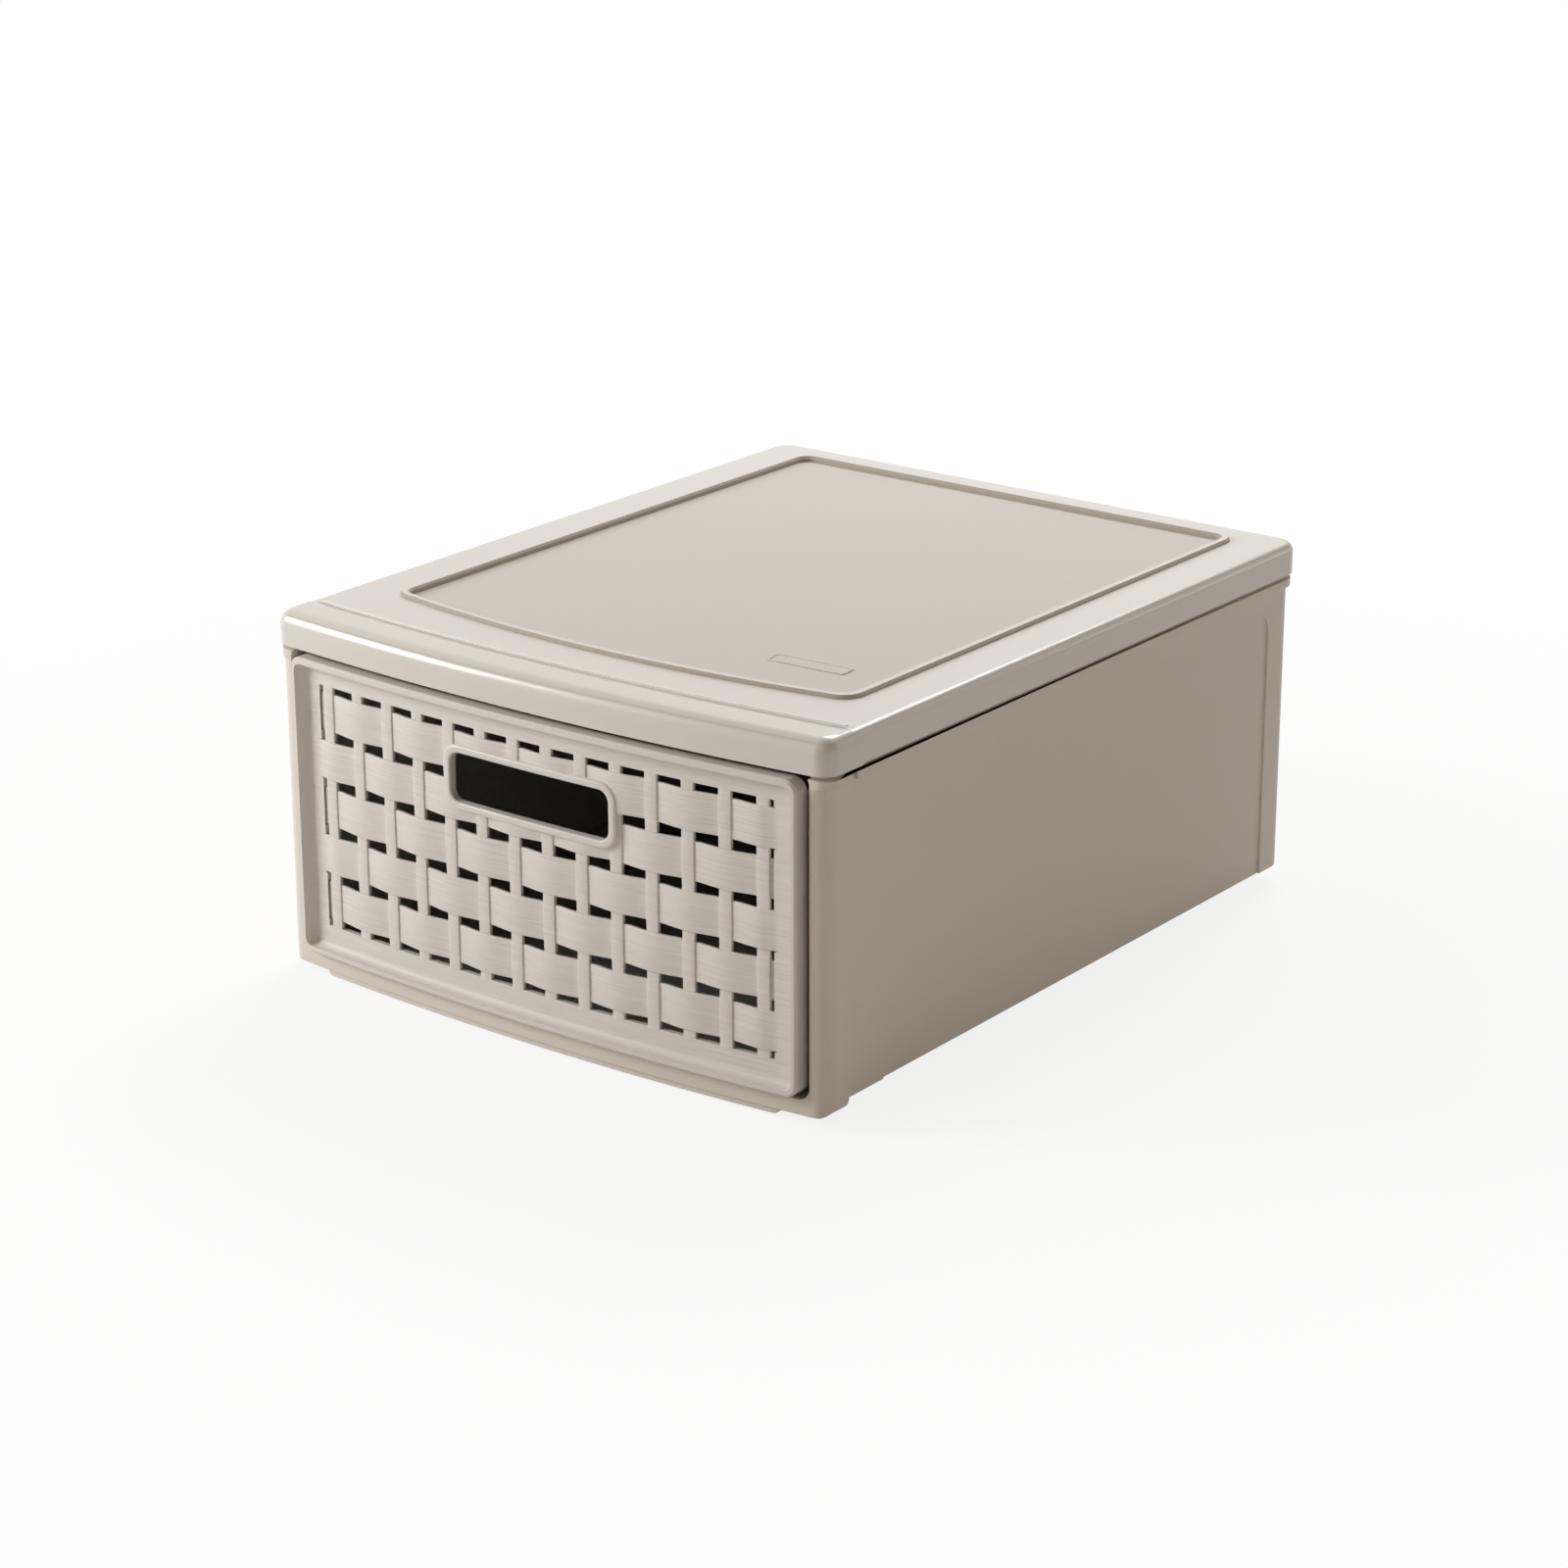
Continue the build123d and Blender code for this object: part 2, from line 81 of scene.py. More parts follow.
FRONT_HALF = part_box("drawer")[1][0]
FRONT_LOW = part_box("drawer")[0][2] + 1.2 * MM
FRONT_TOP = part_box("lid")[0][2] - 2.6 * MM
WEAVE_HALF = FRONT_HALF - 15.0 * MM
WEAVE_LOW = FRONT_LOW + 14.4 * MM
WEAVE_HIGH = FRONT_TOP - 12.6 * MM
WEAVE_ROOT = 1.2 * MM  # how far bands and strips run into the frame round the weave
ROWS = 5
COLUMNS = 14

# ---- basket weave -----------------------------------------------------------------------
SLOT_HEIGHT = 5.0 * MM
END_SLOT = 3.7 * MM
ROW_PITCH = (WEAVE_HIGH - WEAVE_LOW - 2 * END_SLOT + SLOT_HEIGHT) / ROWS
BAND_HEIGHT = ROW_PITCH - SLOT_HEIGHT
COLUMN_PITCH = 2 * (WEAVE_HALF - 5.8 * MM) / (COLUMNS - 1)
BAND_BULGE = 1.2 * MM
BAND_DIP = 0.7 * MM
BAND_END_DIP = 1.2 * MM  # where a band ends behind an upright strip
BAND_THICKNESS = 1.9 * MM
BAND_EDGE = 0.5 * MM
STRIP_WIDTH = 6.8 * MM
STRIP_BULGE = 0.15 * MM
STRIP_DIP = 0.15 * MM
STRIP_THICKNESS = 2.0 * MM
STRIP_EDGE = 0.35 * MM
WEAVE_STEP = 2.5 * MM  # length of the straight stretches of a band

# ---- grip hole --------------------------------------------------------------------------
GRIP_Z = WEAVE_HIGH - END_SLOT - BAND_HEIGHT - SLOT_HEIGHT / 2
GRIP_HOLE = Vector((94.5, 24.0)) * MM
GRIP_CORNER = 5.5 * MM
GRIP_REACH = 20.0 * MM  # how far a cutter for the grip stands out on both sides
GRIP_ROWS = slice(0, 2)  # bands and strips that the grip hole crosses
GRIP_COLUMNS = slice(4, 10)
COLLAR = Vector((103.0, 31.5)) * MM
COLLAR_CORNER = 8.5 * MM
COLLAR_PROUD = 2.2 * MM
COLLAR_DEPTH = 4.2 * MM
COLLAR_EDGE = 1.1 * MM
COLLAR_STATIONS = 15

# ---- trim -------------------------------------------------------------------------------
BOW_STEP = 4.0 * MM  # length of the straight stretches of a bowed bar
FOOT_HALF = 137.1 * MM
FOOT_LOW = 1.0 * MM
FOOT_HIGH = 4.2 * MM
FOOT_CORNER = 2.4 * MM
FOOT_EDGE = 0.4 * MM
FOOT_FACE = -2.1 * MM  # faces and backs are measured from the line of the lid's skirt
FOOT_BACK = -6.6 * MM
# A thin bar behind the lid's front band, lighter than the lid: a painted highlight along the
# step's edge.
BAND_LINE_FACE = -23.5 * MM
BAND_LINE_BACK = -25.0 * MM
BAND_LINE_HALF = 157.0 * MM
BAND_LINE_LOW = LID_TOP - 1.2 * MM
BAND_LINE_HIGH = LID_TOP - 0.5 * MM
BAND_LINE_EDGE = 0.3 * MM

PLATE = Vector((42.0, 10.4, 0.55)) * MM  # bare plate on the lid
PLATE_PLACE = Vector((88.0, -104.5)) * MM
PLATE_CORNER = 1.4 * MM
PLATE_FRAME = 0.9 * MM
PLATE_WALL = 0.08 * MM
PLATE_SINK = 0.25 * MM
PLATE_ROOT = 0.1 * MM  # how far the plate's underside lies in the lid

# ---- settings for the meshes ------------------------------------------------------------
EASE = 0.3 * MM
FINE_EASE = 0.2 * MM  # for the lid
EASE_SEGMENTS = 2
MERGE_REACH = 0.002 * MM
NEAR = 0.3 * MM  # how far from a surface the middle of one of its faces may be
MARGIN = 0.05 * MM
FLAT_ANGLE = math.radians(0.3)
SMOOTH_ANGLE = math.radians(32)
SHARP_ANGLE = math.radians(35)


def bow_y(x, offset):
    """Y at x of the arc that stands `offset` in front of the line of the lid's skirt."""
    return BOW_CENTRE - math.sqrt((BOW_RADIUS + offset) ** 2 - x**2)


# ---- working with meshes ----------------------------------------------------------------
def pick(piece):
    """Makes one piece the only selected and the active one."""
    bpy.ops.object.select_all(action="DESELECT")
    piece.select_set(True)
    bpy.context.view_layer.objects.active = piece


def select_where(kind, test):
    """In edit mode, selects the vertices, edges or faces of the active piece that pass."""
    bpy.ops.mesh.select_all(action="DESELECT")
    bpy.ops.mesh.select_mode(type=kind)
    mesh = bmesh.from_edit_mesh(bpy.context.object.data)
    parts = {"VERT": mesh.verts, "EDGE": mesh.edges, "FACE": mesh.faces}[kind]
    for part in parts:
        part.select = test(part)
    mesh.select_flush_mode()
    bmesh.update_edit_mesh(bpy.context.object.data)


def runs_along(axis, edge):
    """Whether an edge lies along one axis of the frame."""
    way = (edge.verts[1].co - edge.verts[0].co).normalized()
    return abs(way[axis]) > 0.999


def round_edges(test, width, segments):
    """In edit mode, rounds the edges of the active piece that pass."""
    select_where("EDGE", test)
    bpy.ops.mesh.bevel(offset=width, segments=segments, profile=0.5)


def divide_along(axis, cuts):
    """In edit mode, cuts the active piece across one axis of the frame."""
    select_where("EDGE", lambda edge: runs_along(axis, edge))
    bpy.ops.mesh.subdivide(number_cuts=cuts)


def join_flats():
    """In edit mode, joins faces of the active piece that lie in one plane."""
    bpy.ops.mesh.select_all(action="SELECT")
    bpy.ops.mesh.dissolve_limited(angle_limit=FLAT_ANGLE)


def apply_all(piece):
    """Applies a piece's modifiers in their order."""
    pick(piece)
    for modifier in list(piece.modifiers):
        bpy.ops.object.modifier_apply(modifier=modifier.name)


def smooth(piece):
    """Shades a piece smooth, apart from its sharp edges."""
    pick(piece)
    bpy.ops.object.shade_smooth_by_angle(angle=SMOOTH_ANGLE)


def bar(name, low, high):
    """A bar between two corners, to be shaped further; it is left in edit mode."""
    bpy.ops.object.select_all(action="DESELECT")
    bpy.ops.mesh.primitive_cube_add(size=1, location=(Vector(low) + Vector(high)) / 2)
    piece = bpy.context.object
    piece.name = name
    piece.scale = Vector(high) - Vector(low)
    bpy.ops.object.transform_apply(location=True, rotation=False, scale=True)
    bpy.ops.object.mode_set(mode="EDIT")
    return piece


def copy_of(piece, name):
    """A copy of a piece with a mesh of its own."""
    twin = bpy.data.objects.new(name, piece.data.copy())
    bpy.context.scene.collection.objects.link(twin)
    return twin


def cut(piece, cutter):
    """Takes the cutter's volume out of a piece."""
    piece.modifiers.new("hole", "BOOLEAN").object = cutter
    apply_all(piece)


def bend(piece, offset):
    """Bends a straight piece to the bow, `offset` in front of the line of the lid's skirt."""
    for vertex in piece.data.vertices:
        vertex.co.y += bow_y(vertex.co.x, offset)


def dress(piece, body, slot, *nodes):
    """Puts a finished piece on its body, in place of the nodes it stands for; the slot
    argument is not used.
    """
    if nodes:
        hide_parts(*nodes)
    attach(piece, body)


# ---- materials --------------------------------------------------------------------------
TONE_SCALE = 9
TONE_RANGE = (0.975, 1.02)
BRUSH_STRETCH = (25, 60, 1150)  # the brushed marks run level
BRUSH_TONE = 0.2
BRUSH_RELIEF = 0.3 * MM
GRAIN_RELIEF = 0.2 * MM
ROUGHNESS_RANGE = (-0.04, 0.04)
COAT_ROUGHNESS = 0.12
SPECULAR_LEVEL = 0.4


def map_range(tree, value, ends):
    """Output that carries a value from 0 to 1 over to the range between two ends."""
    node = tree.nodes.new("ShaderNodeMapRange")
    node.inputs["To Min"].default_value, node.inputs["To Max"].default_value = ends
    tree.links.new(value, node.inputs["Value"])
    return node.outputs["Result"]


def combine(tree, operation, *values):
    """Output of a Math node, each of whose inputs is a number or another node's output."""
    node = tree.nodes.new("ShaderNodeMath")
    node.operation = operation
    for index, value in enumerate(values):
        if isinstance(value, (int, float)):
            node.inputs[index].default_value = value
        else:
            tree.links.new(value, node.inputs[index])
    return node.outputs["Value"]


def noise(tree, place, detail):
    """A Noise Texture node that reads one vector."""
    node = tree.nodes.new("ShaderNodeTexNoise")
    node.inputs["Detail"].default_value = detail
    tree.links.new(place, node.inputs["Vector"])
    return node


def relief(tree, height, strength, distance):
    """A Bump node for one height."""
    node = tree.nodes.new("ShaderNodeBump")
    node.inputs["Distance"].default_value = distance
    tree.links.new(strength, node.inputs["Strength"])
    tree.links.new(height, node.inputs["Height"])
    return node


def grain_group():
    """Shader group: fine moulded grain, brushed marks and a slow change of tone."""
    group = bpy.data.node_groups.new("moulded_grain", "ShaderNodeTree")
    make = group.interface.new_socket
    make("Colour", in_out="INPUT", socket_type="NodeSocketColor")
    for value in ("Roughness", "Grain size", "Grain depth", "Brush depth"):
        make(value, in_out="INPUT", socket_type="NodeSocketFloat")
    make("Colour", in_out="OUTPUT", socket_type="NodeSocketColor")
    make("Roughness", in_out="OUTPUT", socket_type="NodeSocketFloat")
    make("Normal", in_out="OUTPUT", socket_type="NodeSocketVector")
    nodes = group.nodes
    link = group.links.new
    start = nodes.new("NodeGroupInput").outputs
    end = nodes.new("NodeGroupOutput").inputs
    place = nodes.new("ShaderNodeTexCoord").outputs["Object"]

    grain = noise(group, place, detail=2)
    link(start["Grain size"], grain.inputs["Scale"])
    tone = noise(group, place, detail=3)
    tone.inputs["Scale"].default_value = TONE_SCALE
    stretch = nodes.new("ShaderNodeMapping")
    stretch.inputs["Scale"].default_value = BRUSH_STRETCH
    link(place, stretch.inputs["Vector"])
    brush = noise(group, stretch.outputs["Vector"], detail=1)
    brush.inputs["Scale"].default_value = 1

    shade = map_range(group, tone.outputs["Fac"], TONE_RANGE)
    centred = combine(group, "SUBTRACT", brush.outputs["Fac"], 0.5)
    streak = combine(group, "MULTIPLY", centred, start["Brush depth"])
    level = combine(group, "MULTIPLY_ADD", streak, BRUSH_TONE, shade)
    tint = nodes.new("ShaderNodeVectorMath")
    tint.operation = "SCALE"
    link(start["Colour"], tint.inputs[0])
    link(level, tint.inputs["Scale"])
    link(tint.outputs["Vector"], end["Colour"])

    spread = map_range(group, grain.outputs["Fac"], ROUGHNESS_RANGE)
    link(combine(group, "ADD", start["Roughness"], spread), end["Roughness"])

    fine = relief(group, grain.outputs["Fac"], start["Grain depth"], GRAIN_RELIEF)
    lines = relief(group, brush.outputs["Fac"], start["Brush depth"], BRUSH_RELIEF)
    link(fine.outputs["Normal"], lines.inputs["Normal"])
    link(lines.outputs["Normal"], end["Normal"])
    return group


GRAIN = grain_group()


def plastic(name, colour, roughness, grain_size, grain_depth, brush_depth=0.0, coat=0.0):
    """Moulded plastic of one colour, with the grain that its mould gives it."""
    material = bpy.data.materials.new(name)
    material.use_nodes = True
    nodes = material.node_tree.nodes
    link = material.node_tree.links.new
    shader = nodes["Principled BSDF"]
    grain = nodes.new("ShaderNodeGroup")
    grain.node_tree = GRAIN
    grain.inputs["Colour"].default_value = (*colour, 1)
    grain.inputs["Roughness"].default_value = roughness
    grain.inputs["Grain size"].default_value = grain_size
    grain.inputs["Grain depth"].default_value = grain_depth
    grain.inputs["Brush depth"].default_value = brush_depth
    link(grain.outputs["Colour"], shader.inputs["Base Color"])
    link(grain.outputs["Roughness"], shader.inputs["Roughness"])
    link(grain.outputs["Normal"], shader.inputs["Normal"])
    shader.inputs["Coat Weight"].default_value = coat
    shader.inputs["Coat Roughness"].default_value = COAT_ROUGHNESS
    shader.inputs["Specular IOR Level"].default_value = SPECULAR_LEVEL
    return material


SHELL = (0.73, 0.702, 0.658)
satin = plastic("satin_shell", SHELL, 0.34, 900, 0.10, coat=0.35)
matte = plastic("matte_panel", (0.65, 0.627, 0.59), 0.7, 2600, 0.5)
walls = plastic("housing_wall", (0.72, 0.672, 0.605), 0.45, 1600, 0.25)
woven = plastic("brushed_weave", (0.745, 0.717, 0.672), 0.5, 1300, 0.35, brush_depth=1.0)
rim = plastic("drawer_rim", SHELL, 0.5, 1300, 0.2)
# Lighter colour for the bar behind the lid's front band: a painted highlight, not a colour of
# the plastic.
painted_highlight_satin = plastic("band_painted_highlight", (0.84, 0.82, 0.785), 0.3, 900, 0.10, coat=0.35)
# Darker colour for the bead's sides: painted shade in the groove round the lid's panel, not a
# colour of the plastic.
bead_painted_shade = plastic("bead_painted_shade", (0.47, 0.43, 0.375), 0.5, 1600, 0.2)
plain = plastic("tray_inside", (0.68, 0.65, 0.60), 0.5, 1600, 0.2)


def cover(piece, *materials):
    """Gives a piece its materials, in the order of its material slots."""
    piece.data.materials.clear()
    for material in materials:
        piece.data.materials.append(material)


# ---- mouldings carried over from the model ----------------------------------------------
def merged_copy(node, name):
    """A copy of a node's moulding with its loose triangles merged; left in edit mode."""
    piece = copy_of(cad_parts[node], name)
    pick(piece)
    bpy.ops.object.mode_set(mode="EDIT")
    bpy.ops.mesh.select_all(action="SELECT")
    bpy.ops.mesh.remove_doubles(threshold=MERGE_REACH)
    bpy.ops.mesh.customdata_custom_splitnormals_clear()
    return piece


def ease_edges(piece, width, clamp=True):
    """Joins flat faces into one, then rounds every sharp edge of the piece in edit mode."""
    join_flats()
    bpy.ops.object.mode_set(mode="OBJECT")
    edges = piece.modifiers.new("ease", "BEVEL")
    edges.width = width
    edges.segments = EASE_SEGMENTS
    edges.limit_method = "ANGLE"
    edges.angle_limit = SHARP_ANGLE
    edges.use_clamp_overlap = clamp
    apply_all(piece)
    smooth(piece)
    flats = piece.modifiers.new("flats", "WEIGHTED_NORMAL")
    flats.keep_sharp = True
    apply_all(piece)


def finish_faces(piece, index, test):
    """Gives the faces of a piece that pass the material of one slot."""
    for face in piece.data.polygons:
        if test(face):
            face.material_index = index


def on_panel(face):
    """Whether a face of the lid lies in the sunk panel."""
    return abs(face.center.z - PANEL_SURFACE) < NEAR


def on_bead_painted_shade(face):
    """Whether a face of the lid is part of a side of the bead round the panel, where a darker
    colour is painted as shade.
    """
    beside_bead = abs(face.center.x) < BEAD_HALF and face.center.y > BEAD_FRONT
    between = BEAD_SHADE_LOW < face.center.z < BEAD_SHADE_HIGH
    return beside_bead and between and abs(face.normal.z) < 0.8


def on_rim(face):
    """Whether a face of the drawer stands in front of the woven face."""
    return face.center.y < bow_y(face.center.x, FACE_OFFSET + NEAR)


def round_weave(face):
    """Whether a face of the drawer lies in the woven face, round the weave's window."""
    return abs(face.center.y - bow_y(face.center.x, FACE_OFFSET)) < NEAR


def in_weave(face):
    """Whether a face of the drawer, in edit mode, belongs to the weave in its window."""
    middle = face.calc_center_median()
    in_front = middle.y < bow_y(middle.x, -FRONT_DEPTH)
    across = abs(middle.x) < WEAVE_HALF - MARGIN
    upright = WEAVE_LOW + MARGIN < middle.z < WEAVE_HIGH - MARGIN
    return in_front and across and upright


housing = merged_copy("housing", "housing_shell")
ease_edges(housing, EASE, clamp=False)
cover(housing, walls)
dress(housing, "housing", "housing", "housing")

lid = merged_copy("lid", "lid_shell")
ease_edges(lid, FINE_EASE)
cover(lid, satin, matte, bead_painted_shade)
finish_faces(lid, 1, on_panel)
# The bead's steep sides take the darker colour of painted shade.
finish_faces(lid, 2, on_bead_painted_shade)
dress(lid, "housing", "lid", "lid")

drawer = merged_copy("drawer", "drawer_shell")
select_where("FACE", in_weave)
bpy.ops.mesh.delete(type="FACE")
ease_edges(drawer, EASE)
cover(drawer, plain, rim, woven)
finish_faces(drawer, 1, on_rim)
finish_faces(drawer, 2, round_weave)
dress(drawer, "drawer", "drawer", "drawer")


# ---- bands and strips of the weave ------------------------------------------------------
def is_over(row, column):
    """Whether the upright strip passes in front of the band where the two cross."""
    return (row + column) % 2 == 0


def column_x(column):
    """X of the middle of an upright strip."""
    return (column - (COLUMNS - 1) / 2) * COLUMN_PITCH


def row_low(row):
    """Z of the lower edge of a band; row 0 is the topmost."""
    return WEAVE_HIGH - END_SLOT - BAND_HEIGHT - row * ROW_PITCH


def swell(x, row):
    """How far a band stands out of the woven face at x."""
    wave = math.cos(math.pi * (x - column_x(0)) / COLUMN_PITCH)
    if is_over(row, 0):
        wave = -wave
    out = (BAND_BULGE - BAND_DIP) / 2 + wave * (BAND_BULGE + BAND_DIP) / 2
    last = column_x(COLUMNS - 1)
    share = min(1.0, max(0.0, (abs(x) - last) / (WEAVE_HALF - last)))
    end_column = 0 if x < 0 else COLUMNS - 1
    end = -BAND_END_DIP if is_over(row, end_column) else 0
    return out * (1 - share) + end * share


def new_band(row):
    """A band of one row, swelling over every other upright strip."""
    end = WEAVE_HALF + WEAVE_ROOT
    low = row_low(row)
    high = low + BAND_HEIGHT
    piece = bar(f"weave_band_{row + 1}", (-end, 0, low), (end, BAND_THICKNESS, high))
    round_edges(lambda edge: runs_along(0, edge), BAND_EDGE, segments=3)
    divide_along(0, round(2 * end / WEAVE_STEP))
    bpy.ops.object.mode_set(mode="OBJECT")
    for vertex in piece.data.vertices:
        vertex.co.y += bow_y(vertex.co.x, FACE_OFFSET + swell(vertex.co.x, row))
    smooth(piece)
    cover(piece, woven)
    return piece


def strip_wave(z, column):
    """How far a strip's face stands out of the woven face at height z."""
    high = WEAVE_HIGH - END_SLOT / 2
    for row in range(ROWS):
        low = row_low(row) - SLOT_HEIGHT / 2
        if row == ROWS - 1:
            low = WEAVE_LOW + END_SLOT / 2
        if low <= z <= high:
            share = math.sin(math.pi * (z - low) / (high - low))
            return share * (STRIP_BULGE if is_over(row, column) else -STRIP_DIP)
        high = low
    return 0.0


def new_strip(column):
    """An upright strip, waving over and under the bands, with its face on the XZ plane."""
    low, high = WEAVE_LOW - WEAVE_ROOT, WEAVE_HIGH + WEAVE_ROOT
    half = STRIP_WIDTH / 2
    name = f"weave_strip_{column + 1}"
    piece = bar(name, (-half, 0, low), (half, STRIP_THICKNESS, high))
    round_edges(lambda edge: runs_along(2, edge), STRIP_EDGE, segments=3)
    divide_along(2, round((high - low) / (WEAVE_STEP / 2)))
    bpy.ops.object.mode_set(mode="OBJECT")
    for vertex in piece.data.vertices:
        vertex.co.y -= strip_wave(vertex.co.z, column)
    smooth(piece)
    cover(piece, woven)
    return piece


bands = [new_band(0), new_band(1)]
for row in range(2, ROWS):
    band = copy_of(bands[row % 2], f"weave_band_{row + 1}")
    band.data.transform(Matrix.Translation((0, 0, row_low(row) - row_low(row % 2))))
    bands.append(band)

strips = [new_strip(0), new_strip(1)]
for column in range(2, COLUMNS):
    strips.append(copy_of(strips[column % 2], f"weave_strip_{column + 1}"))
for column, strip in enumerate(strips):
    x = column_x(column)
    turn = Matrix.Rotation(math.asin(x / (BOW_RADIUS + FACE_OFFSET)), 4, "Z")
    strip.data.transform(Matrix.Translation((x, bow_y(x, FACE_OFFSET), 0)) @ turn)


# ---- collar and hole of the grip --------------------------------------------------------
def grip_block(name, size, corner, front, back):
    """A block round the middle of the grip; the edges that run to the back are rounded."""
    half = size / 2
    low, high = (-half.x, front, GRIP_Z - half.y), (half.x, back, GRIP_Z + half.y)
    piece = bar(name, low, high)
    round_edges(lambda edge: runs_along(1, edge), corner, segments=8)
    bpy.ops.object.mode_set(mode="OBJECT")
    return piece


def cut_for_grip():
    """Opens the weave behind the collar, midway between its hole and its outer edge."""
    cutter = grip_block(
        "grip_cutter",
        (GRIP_HOLE + COLLAR) / 2,
        GRIP_CORNER,
        BOW_FRONT - GRIP_REACH,
        BOW_FRONT + GRIP_REACH,
    )
    for piece in bands[GRIP_ROWS] + strips[GRIP_COLUMNS]:
        cut(piece, cutter)
        smooth(piece)
    bpy.data.objects.remove(cutter)


def grip_collar():
    """The rounded collar of the grip hole, bent to the bow."""
    front, back = -COLLAR_PROUD, COLLAR_DEPTH - COLLAR_PROUD
    piece = grip_block("grip_collar", COLLAR, COLLAR_CORNER, front, back)
    cutter = grip_block(
        "grip_collar_hole", GRIP_HOLE, GRIP_CORNER, front - GRIP_REACH, back + GRIP_REACH
    )
    cut(piece, cutter)
    bpy.data.objects.remove(cutter)

    def borders_front(edge):
        """Whether an edge goes round the collar's front face."""
        in_front = all(abs(vertex.co.y - front) < MM / 100 for vertex in edge.verts)
        return in_front and edge.calc_face_angle(0) > 1

    bpy.ops.object.mode_set(mode="EDIT")
    join_flats()
    round_edges(borders_front, COLLAR_EDGE, segments=4)
    for station in range(1, COLLAR_STATIONS):
        bpy.ops.mesh.select_all(action="SELECT")
        x = COLLAR.x * (station / COLLAR_STATIONS - 0.5)
        bpy.ops.mesh.bisect(plane_co=(x, 0, 0), plane_no=(1, 0, 0))
    bpy.ops.object.mode_set(mode="OBJECT")
    bend(piece, FACE_OFFSET)
    smooth(piece)
    cover(piece, satin)
    return piece


cut_for_grip()
for piece in [*bands, *strips, grip_collar()]:
    dress(piece, "drawer", "drawer")


# ---- bare plate on the lid --------------------------------------------------------------
def lid_plate():
    """A low bare plate with a fine raised frame, in line with the bow of the front."""
    half = PLATE / 2
    piece = bar("lid_plate", (-half.x, -half.y, 0), (half.x, half.y, PLATE.z))
    round_edges(lambda edge: runs_along(2, edge), PLATE_CORNER, segments=4)
    select_where("FACE", lambda face: face.normal.z > 0.9)
    bpy.ops.mesh.inset(thickness=PLATE_FRAME)
    bpy.ops.mesh.inset(thickness=PLATE_WALL)
    bpy.ops.transform.translate(value=(0, 0, -PLATE_SINK))
    bpy.ops.object.mode_set(mode="OBJECT")
    turn = Matrix.Rotation(math.asin(PLATE_PLACE.x / BOW_RADIUS), 4, "Z")
    place = Vector((*PLATE_PLACE, PANEL_SURFACE - PLATE_ROOT))
    piece.data.transform(Matrix.Translation(place) @ turn)
    smooth(piece)
    cover(piece, matte)
    return piece


dress(lid_plate(), "housing", "lid")


# ---- bowed trim of the housing, and a bar of painted highlight on the lid ---------------
def bowed_bar(name, half, face, back, low, high, corner, edge):
    """A bar along the front, bent to the bow, with its lower ends and front edges rounded."""
    piece = bar(name, (-half, 0, low), (half, face - back, high))
    middle = (low + high) / 2
    if corner:
        round_edges(
            lambda part: runs_along(1, part) and part.verts[0].co.z < middle,
            corner,
            segments=4,
        )
    round_edges(
        lambda part: runs_along(0, part) and part.verts[0].co.y < MM / 10, edge, segments=2
    )
    divide_along(0, round(2 * half / BOW_STEP))
    bpy.ops.object.mode_set(mode="OBJECT")
    bend(piece, face)
    smooth(piece)
    return piece


foot = bowed_bar(
    "front_foot",
    FOOT_HALF,
    FOOT_FACE,
    FOOT_BACK,
    FOOT_LOW,
    FOOT_HIGH,
    FOOT_CORNER,
    FOOT_EDGE,
)
cover(foot, walls)
dress(foot, "housing", "housing")

# A lighter bar along the step behind the lid's front band: a painted highlight of that edge.
band_painted_highlight = bowed_bar(
    "lid_band_painted_highlight",
    BAND_LINE_HALF,
    BAND_LINE_FACE,
    BAND_LINE_BACK,
    BAND_LINE_LOW,
    BAND_LINE_HIGH,
    0,
    BAND_LINE_EDGE,
)
cover(band_painted_highlight, painted_highlight_satin)
dress(band_painted_highlight, "housing", "lid")

# ---- stage, light and camera ------------------------------------------------------------
FLOOR_SIZE = 12
FLOOR_DROP = 0.2 * MM
FLOOR_COLOUR = (0.86, 0.86, 0.86, 1)
FLOOR_ROUGHNESS = 0.9
FADE_NEAR = 0.22  # distances from the origin between which the floor turns white
FADE_FAR = 0.75
FADE_RANGE = (0.85, 1.0)
ROOM_LIGHT = (0.225, 0.178, 0.135, 1)
BACKDROP = (1, 1, 1, 1)
LAMP_AIM = Vector((0, 0, 0.09))
LAMPS = (  # name, place, side and power
    ("front_left", (-1.75, -1.3, 1.05), 0.9, 37),
    ("rear_overhead", (-0.4, 1.3, 1.6), 0.9, 22),
    ("rear_right", (1.4, 2.2, 0.5), 0.6, 3),
)

CAMERA_AZIMUTH = math.radians(37.4)
CAMERA_ELEVATION = math.radians(19.456)
CAMERA_ROLL = math.radians(-0.145)
CAMERA_DISTANCE = 1.9814
CAMERA_TARGET = Vector((-0.0071, 0.0, 0.0722))
FRAME_PIXELS = 1600
FOCAL_PIXELS = 4063.6
SENSOR_WIDTH = 36.0


def seen_rays(tree):
    """Output that gives 1 to rays that show the backdrop: seen, reflected or let through."""
    rays = tree.nodes.new("ShaderNodeLightPath").outputs
    total = rays["Is Camera Ray"]
    for kind in ("Is Glossy Ray", "Is Transmission Ray"):
        total = combine(tree, "MAXIMUM", total, rays[kind])
    return total


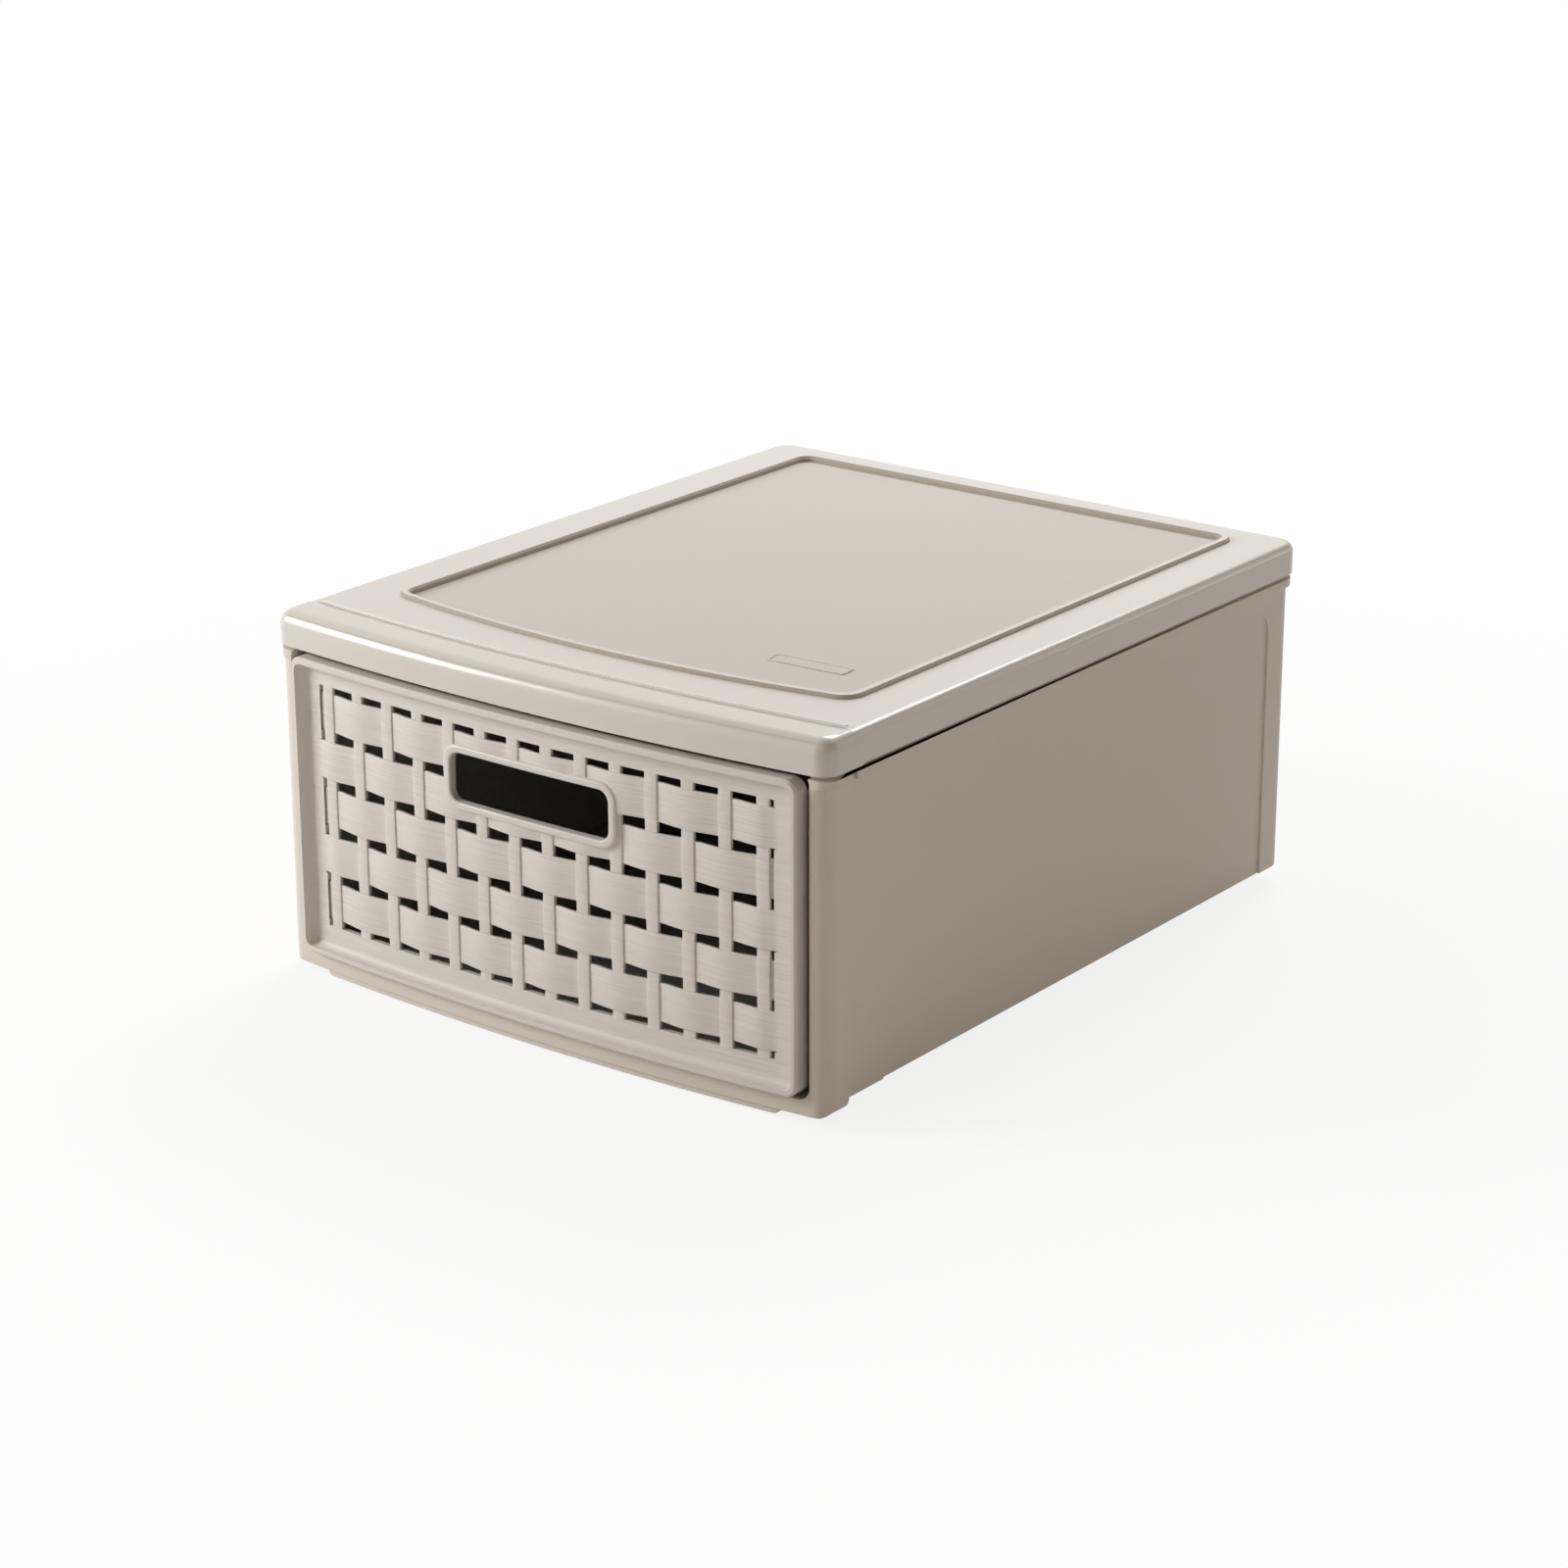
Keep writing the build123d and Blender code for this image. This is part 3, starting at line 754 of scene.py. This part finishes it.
def floor_material():
    """White to the camera away from the box, and a pale floor that keeps its shadow."""
    material = bpy.data.materials.new("studio_floor")
    material.use_nodes = True
    tree = material.node_tree
    nodes = tree.nodes
    link = tree.links.new
    shader = nodes["Principled BSDF"]
    shader.inputs["Base Color"].default_value = FLOOR_COLOUR
    shader.inputs["Roughness"].default_value = FLOOR_ROUGHNESS
    white = nodes.new("ShaderNodeEmission")
    place = nodes.new("ShaderNodeTexCoord")
    distance = nodes.new("ShaderNodeVectorMath")
    distance.operation = "LENGTH"
    link(place.outputs["Object"], distance.inputs[0])
    fade = map_range(tree, distance.outputs["Value"], FADE_RANGE)
    fade.node.inputs["From Min"].default_value = FADE_NEAR
    fade.node.inputs["From Max"].default_value = FADE_FAR
    mix = nodes.new("ShaderNodeMixShader")
    link(combine(tree, "MULTIPLY", seen_rays(tree), fade), mix.inputs["Fac"])
    link(shader.outputs["BSDF"], mix.inputs[1])
    link(white.outputs["Emission"], mix.inputs[2])
    link(mix.outputs["Shader"], nodes["Material Output"].inputs["Surface"])
    return material


bpy.ops.object.select_all(action="DESELECT")
bpy.ops.mesh.primitive_plane_add(size=FLOOR_SIZE, location=(0, 0, -FLOOR_DROP))
floor = bpy.context.object
floor.name = "studio_floor"
cover(floor, floor_material())

for name, place, side, power in LAMPS:
    data = bpy.data.lights.new(name, "AREA")
    data.size = side
    data.energy = power
    light = bpy.data.objects.new(name, data)
    bpy.context.scene.collection.objects.link(light)
    light.location = place
    light.rotation_euler = (LAMP_AIM - Vector(place)).to_track_quat("-Z", "Y").to_euler()

world = bpy.data.worlds.new("studio")
bpy.context.scene.world = world
world.use_nodes = True
sky = world.node_tree
room = sky.nodes.new("ShaderNodeMix")
room.data_type = "RGBA"
room.inputs["A"].default_value = ROOM_LIGHT
room.inputs["B"].default_value = BACKDROP
sky.links.new(seen_rays(sky), room.inputs["Factor"])
sky.links.new(room.outputs["Result"], sky.nodes["Background"].inputs["Color"])

towards_camera = Vector(
    (
        math.sin(CAMERA_AZIMUTH) * math.cos(CAMERA_ELEVATION),
        -math.cos(CAMERA_AZIMUTH) * math.cos(CAMERA_ELEVATION),
        math.sin(CAMERA_ELEVATION),
    )
)
camera_data = bpy.data.cameras.new("camera")
camera_data.sensor_width = SENSOR_WIDTH
camera_data.lens = FOCAL_PIXELS / FRAME_PIXELS * SENSOR_WIDTH
camera = bpy.data.objects.new("camera", camera_data)
bpy.context.scene.collection.objects.link(camera)
camera.location = CAMERA_TARGET + towards_camera * CAMERA_DISTANCE
camera.rotation_euler = (-towards_camera).to_track_quat("-Z", "Y").to_euler()
camera.rotation_euler.rotate_axis("Z", CAMERA_ROLL)
bpy.context.scene.camera = camera
bpy.context.scene.view_settings.view_transform = "Standard"
